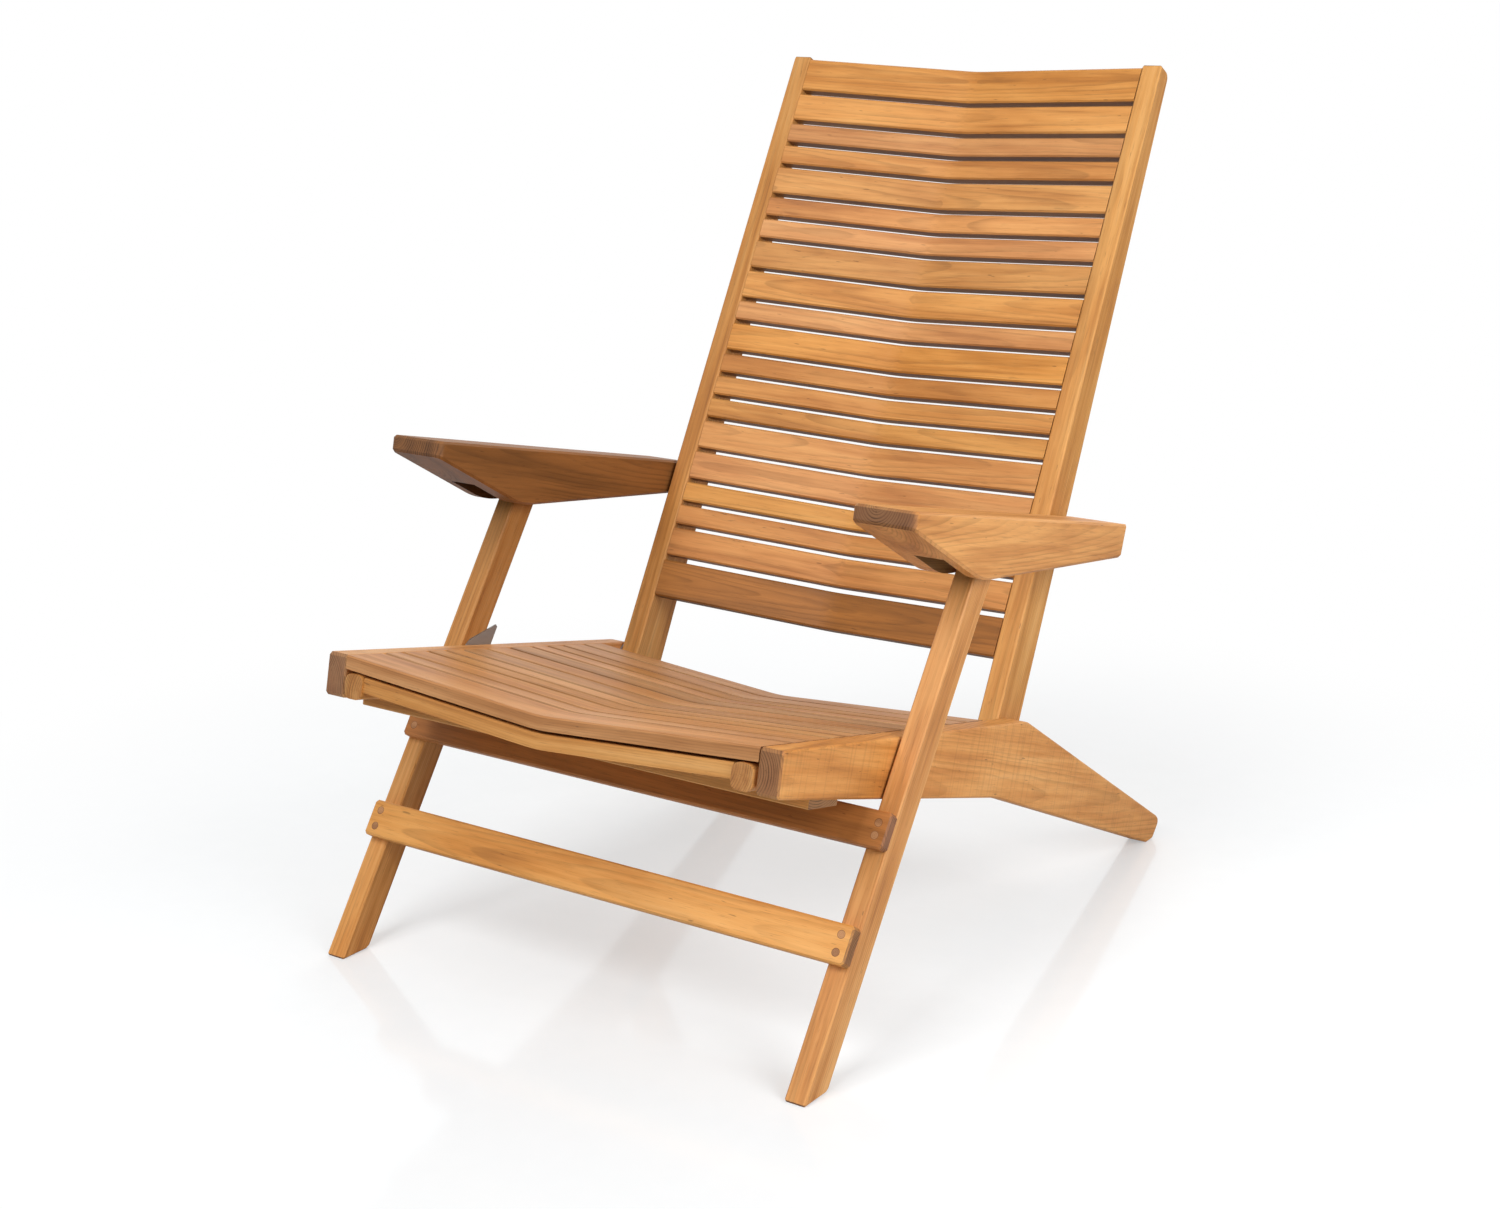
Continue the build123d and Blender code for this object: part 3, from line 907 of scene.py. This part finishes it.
@dataclass
class Back(SubAssembly):
    """Posts, bent slats, pivot pins and washers; the lowest slat is a browner board."""

    lean: float = 62.0
    bend: float = 0.0952
    post_tones: tuple[tuple[str, float], ...] = (("back_post_left", 0.86), ("back_post_right", 0.98))
    slat_look: tuple[OiledTeak, float] = (BACK_TEAK, 0.98)
    brown_slat: str = "back_slat_01"
    brown_look: tuple[OiledTeak, float] = (BROWN_TEAK, 1.0)

    def dress(self) -> None:
        """Dresses the back's pieces."""
        for node, tone in self.post_tones:
            self.plank(node, Cut(self.lean, Run.ALONG, tone=tone, streaks=0.5))
        for node in self.named("back_slat"):
            teak, tone = self.brown_look if node == self.brown_slat else self.slat_look
            # Shade painted on the slats' narrow long faces.
            cut = Cut(self.lean, Run.ACROSS, tone=tone, edges=0.45, bend=self.bend, arcs=0.025)
            self.plank(node, cut, teak)
        self.put("back_pivot_pins", BrushedSteel("back_pin_steel").dress())
        self.put("pivot_washers", BrushedSteel("washer_steel").dress())


@dataclass
class Arms(SubAssembly):
    """The two wedge-shaped arms, each with its wood, its tone and the darkness of its end grain."""

    joints: Sequence[Mapping[str, Any]]
    slope: float = -12.6
    heart: tuple[float, float] = (-0.02, 0.02)
    # The left arm's dark brown is partly darker wood and partly painted shade.
    looks: tuple[tuple[str, OiledTeak, float, float], ...] = (("arm_left", BROWN_TEAK, 0.66, 0.4),
                                                              ("arm_right", BACK_TEAK, 1.0, 0.9))

    def dress(self) -> None:
        """Dresses the arms."""
        slot = Slot(self._pivot())
        for node, teak, tone, ends in self.looks:
            cut = Cut(self.slope, Run.ALONG, Flat.SIDE, tone, ends=ends, arcs=0.05, heart=self.heart,
                      slot=slot)
            self.plank(node, cut, teak)

    def _pivot(self) -> tuple[float, float]:
        """Pivot of arm and leg, the fourth corner of the parallelogram that folds.

        Returns:
            Its distances along the arm's slope and above it, in metres.
        """
        places = {joint["name"]: Vector(joint["pos_m"]) for joint in self.joints if joint.get("pos_m")}
        pivot = places["leg_fold"] + places["arm_left_fold"] - places["back_fold"]
        turned = Matrix.Rotation(math.radians(-self.slope), 3, "X") @ pivot
        return turned.y, turned.z


@dataclass(frozen=True)
class Lamp:
    """One soft box."""

    name: str
    place: tuple[float, float, float]
    size: float
    watts: float
    mirrored: bool = True

    def hang(self, aim: Vector) -> None:
        """Makes the lamp and turns it to the chair.

        Args:
            aim: Point that it shines at.
        """
        light = bpy.data.lights.new(self.name, "AREA")
        light.size = self.size
        light.energy = self.watts
        lamp = bpy.data.objects.new(self.name, light)
        lamp.location = self.place
        lamp.visible_camera = False
        lamp.visible_glossy = self.mirrored
        lamp.rotation_euler = turned_to(Vector(self.place), aim)
        bpy.context.scene.collection.objects.link(lamp)


@dataclass
class Studio:
    """White room, soft boxes and the camera at the photograph's place.

    The floor has one tint to the camera and a darker one for the light that it throws back on the chair. It
    glows a little to the camera near the chair, and fades to plain white over the fade's distances.
    """

    aim: tuple[float, float, float] = (0.0, 0.0, 0.45)
    lamps: tuple[Lamp, ...] = (Lamp("key_box", (-0.3, -2.9, 3.0), 2.0, 98.0),
                               Lamp("top_box", (0.4, 0.6, 3.6), 3.0, 14.0),
                               Lamp("side_box", (2.0, -0.5, 1.3), 1.3, 31.0),
                               Lamp("back_box", (-1.2, 3.0, 2.2), 2.4, 52.0, mirrored=False))
    room_light: float = 0.26
    floor_half: float = 9.0
    floor_tint: Colour = (0.93, 0.965, 0.985)
    bounce_tint: Colour = (0.56, 0.58, 0.595)
    floor_glow: float = 0.4
    floor_roughness: float = 0.1
    floor_specular: float = 0.9
    fade: tuple[float, float] = (0.5, 1.3)
    speck_rate: float = 30.0
    speck_shade: float = 0.04
    eye: tuple[float, float, float] = (1.38024, -2.08188, 1.04041)
    target: tuple[float, float, float] = (0.21251, -0.37262, 0.468)
    lens: float = 55.096
    sensor: float = 36.0

    def build(self) -> None:
        """Builds the room, the floor, the lamps and the camera."""
        bpy.context.scene.view_settings.view_transform = "Standard"
        self._room()
        self._floor()
        for lamp in self.lamps:
            lamp.hang(Vector(self.aim))
        self._camera()

    def _room(self) -> None:
        """White to the camera and in reflections, a plain grey light elsewhere."""
        world = bpy.data.worlds.new("white_room")
        bpy.context.scene.world = world
        sheet = Sheet.on(world)
        seen = sheet.ray("Camera") + sheet.ray("Glossy") + sheet.ray("Transmission")
        strength = self.room_light + seen.between(0.0, 1.0) * (1.0 - self.room_light)
        light = sheet.node("ShaderNodeBackground", {}, {"Color": opaque(WHITE), "Strength": strength},
                           "Background")
        sheet.end("ShaderNodeOutputWorld", light)

    def _floor(self) -> None:
        """A pale, slightly glossy floor."""
        half = self.floor_half
        corners = [(-half, -half, 0), (half, -half, 0), (half, half, 0), (-half, half, 0)]
        mesh = bpy.data.meshes.new("floor")
        mesh.from_pydata(corners, [], [(0, 1, 2, 3)])
        floor = bpy.data.objects.new("floor", mesh)
        bpy.context.scene.collection.objects.link(floor)
        mesh.materials.append(self._floor_paint())

    def _floor_paint(self) -> bpy.types.Material:
        """Paint of the floor, which fades to white away from the chair.

        Returns:
            The material.
        """
        sheet = Sheet("pale_floor")
        point = sheet.coordinates("Object")
        reach = sheet.node("ShaderNodeVectorMath", {"operation": "LENGTH"}, {0: point}, "Value")
        white = self.floor_glow + reach.between(*self.fade) * (1.0 - self.floor_glow)
        speck = sheet.noise(point, self.speck_rate, detail=2.0)
        camera = sheet.ray("Camera")
        tint = sheet.mix(camera, opaque(self.bounce_tint), opaque(self.floor_tint))
        colour = sheet.toned(tint, 1 - self.speck_shade / 2 + speck * self.speck_shade)
        paint = sheet.node("ShaderNodeBsdfPrincipled", {},
                           {"Base Color": colour, "Roughness": self.floor_roughness,
                            "Specular IOR Level": self.floor_specular}, "BSDF")
        glow = sheet.node("ShaderNodeEmission", {}, {"Color": opaque(WHITE), "Strength": 1.0}, "Emission")
        mixed = sheet.node("ShaderNodeMixShader", {}, {0: white * camera, 1: paint, 2: glow}, 0)
        sheet.end("ShaderNodeOutputMaterial", mixed)
        return sheet.owner

    def _camera(self) -> None:
        """Sets the camera where the photograph was taken from."""
        data = bpy.data.cameras.new("camera")
        data.sensor_width = self.sensor
        data.lens = self.lens
        camera = bpy.data.objects.new("camera", data)
        camera.location = self.eye
        camera.rotation_euler = turned_to(Vector(self.eye), Vector(self.target))
        bpy.context.scene.collection.objects.link(camera)
        bpy.context.scene.camera = camera


def main() -> None:
    """Dresses the chair and sets the stage."""
    logging.basicConfig(level=logging.INFO, format="%(name)s %(message)s")
    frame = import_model()
    nodes = frame["nodes"]
    for group in (Seat(nodes), Footrest(nodes), Legs(nodes), Back(nodes), Arms(nodes, frame["joints"])):
        LOG.info("dressing: %s", type(group).__name__)
        group.dress()
    Studio().build()


if __name__ == "__main__":
    main()
